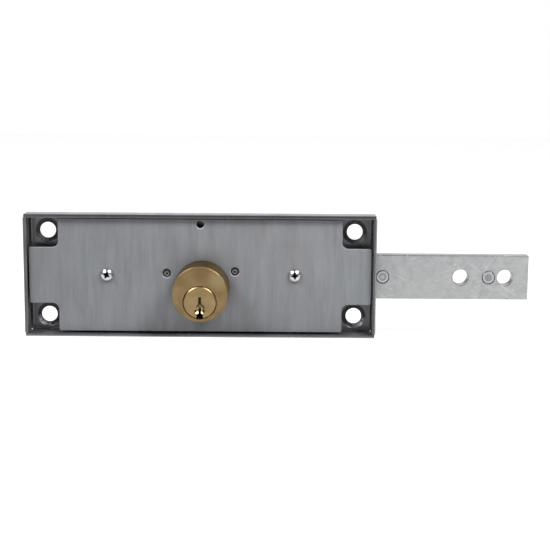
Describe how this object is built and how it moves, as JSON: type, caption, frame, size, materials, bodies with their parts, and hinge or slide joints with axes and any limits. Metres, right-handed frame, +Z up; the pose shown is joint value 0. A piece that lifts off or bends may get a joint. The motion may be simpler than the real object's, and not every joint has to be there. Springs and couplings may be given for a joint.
{
  "type": "roller shutter lock",
  "caption": "Surface-mounted roller shutter lock: a folded steel case with a recessed cover, a round brass key cylinder and a long flat sliding bolt.",
  "frame": {"origin": "centre of the four mounting holes, on the back face of the case", "axes": "+X along the bolt, towards its free end; +Y into the shutter, out of the back face; +Z up"},
  "size_m": [0.2222, 0.0283, 0.0544],
  "materials": {
    "case_steel": "dark plated sheet, satin",
    "cover_steel": "brushed, fine vertical grain",
    "bolt_steel": "matte galvanised, light scratches",
    "brass_body": "turned, satin",
    "brass_plug": "turned, polished",
    "screw_bright": "bright plated",
    "pin_steel": "plain steel, satin",
    "key_pin_steel": "hardened, polished",
    "spring_steel": "drawn wire"
  },
  "bodies": {
    "root": {"case": "case_steel", "cover_plate": "cover_steel", "cylinder_body": "brass_body", "cover_pillar_left": "pin_steel", "cover_screw_left": "screw_bright", "guide_stud_left": "pin_steel", "cylinder_screw_left": "screw_bright", "cover_pillar_right": "pin_steel", "cover_screw_right": "screw_bright", "guide_stud_right": "pin_steel", "cylinder_screw_right": "screw_bright", "pin_spring_1": "spring_steel", "chamber_plug_1": "brass_body", "pin_spring_2": "spring_steel", "chamber_plug_2": "brass_body", "pin_spring_3": "spring_steel", "chamber_plug_3": "brass_body", "pin_spring_4": "spring_steel", "chamber_plug_4": "brass_body", "pin_spring_5": "spring_steel", "chamber_plug_5": "brass_body"},
    "plug": {"cylinder_plug": "brass_plug", "drive_pinion": "pin_steel", "pinion_washer": "pin_steel", "pinion_screw": "screw_bright"},
    "bolt": {"bolt": "bolt_steel", "bolt_stop_pin": "pin_steel", "bolt_end_pin": "pin_steel"},
    "key_pin_1": {"key_pin_1": "key_pin_steel"},
    "driver_pin_1": {"driver_pin_1": "brass_body"},
    "key_pin_2": {"key_pin_2": "key_pin_steel"},
    "driver_pin_2": {"driver_pin_2": "brass_body"},
    "key_pin_3": {"key_pin_3": "key_pin_steel"},
    "driver_pin_3": {"driver_pin_3": "brass_body"},
    "key_pin_4": {"key_pin_4": "key_pin_steel"},
    "driver_pin_4": {"driver_pin_4": "brass_body"},
    "key_pin_5": {"key_pin_5": "key_pin_steel"},
    "driver_pin_5": {"driver_pin_5": "brass_body"}
  },
  "joints": [
    {"name": "plug_turn", "type": "hinge", "parent": "root", "child": "plug", "pos_m": [0.0008, -0.019, -0.00866], "axis": [0, 1, 0], "range_deg": [0, 360]},
    {"name": "bolt_slide", "type": "slide", "parent": "root", "child": "bolt", "axis": [1, 0, 0], "range_m": [0, 0.02827]},
    {"name": "key_pin_1_drop", "type": "slide", "parent": "plug", "child": "key_pin_1", "axis": [0, 0, 1], "range_m": [-0.0006, 0]},
    {"name": "key_pin_2_drop", "type": "slide", "parent": "plug", "child": "key_pin_2", "axis": [0, 0, 1], "range_m": [-0.0027, 0]},
    {"name": "key_pin_3_drop", "type": "slide", "parent": "plug", "child": "key_pin_3", "axis": [0, 0, 1], "range_m": [-0.0017, 0]},
    {"name": "key_pin_4_drop", "type": "slide", "parent": "plug", "child": "key_pin_4", "axis": [0, 0, 1], "range_m": [-0.0032, 0]},
    {"name": "key_pin_5_drop", "type": "slide", "parent": "plug", "child": "key_pin_5", "axis": [0, 0, 1], "range_m": [-0.0022, 0]},
    {"name": "driver_pin_1_lift", "type": "slide", "parent": "root", "child": "driver_pin_1", "axis": [0, 0, 1], "range_m": [0, 0.0015], "stiffness_N_per_m": 60, "springref_m": -0.002, "deforming": ["pin_spring_1"]},
    {"name": "driver_pin_2_lift", "type": "slide", "parent": "root", "child": "driver_pin_2", "axis": [0, 0, 1], "range_m": [0, 0.0015], "stiffness_N_per_m": 60, "springref_m": -0.002, "deforming": ["pin_spring_2"]},
    {"name": "driver_pin_3_lift", "type": "slide", "parent": "root", "child": "driver_pin_3", "axis": [0, 0, 1], "range_m": [0, 0.0015], "stiffness_N_per_m": 60, "springref_m": -0.002, "deforming": ["pin_spring_3"]},
    {"name": "driver_pin_4_lift", "type": "slide", "parent": "root", "child": "driver_pin_4", "axis": [0, 0, 1], "range_m": [0, 0.0015], "stiffness_N_per_m": 60, "springref_m": -0.002, "deforming": ["pin_spring_4"]},
    {"name": "driver_pin_5_lift", "type": "slide", "parent": "root", "child": "driver_pin_5", "axis": [0, 0, 1], "range_m": [0, 0.0015], "stiffness_N_per_m": 60, "springref_m": -0.002, "deforming": ["pin_spring_5"]}
  ],
  "couplings": [
    {"joint": "plug_turn", "follows": "bolt_slide", "rad_per_m": 222.22}
  ]
}
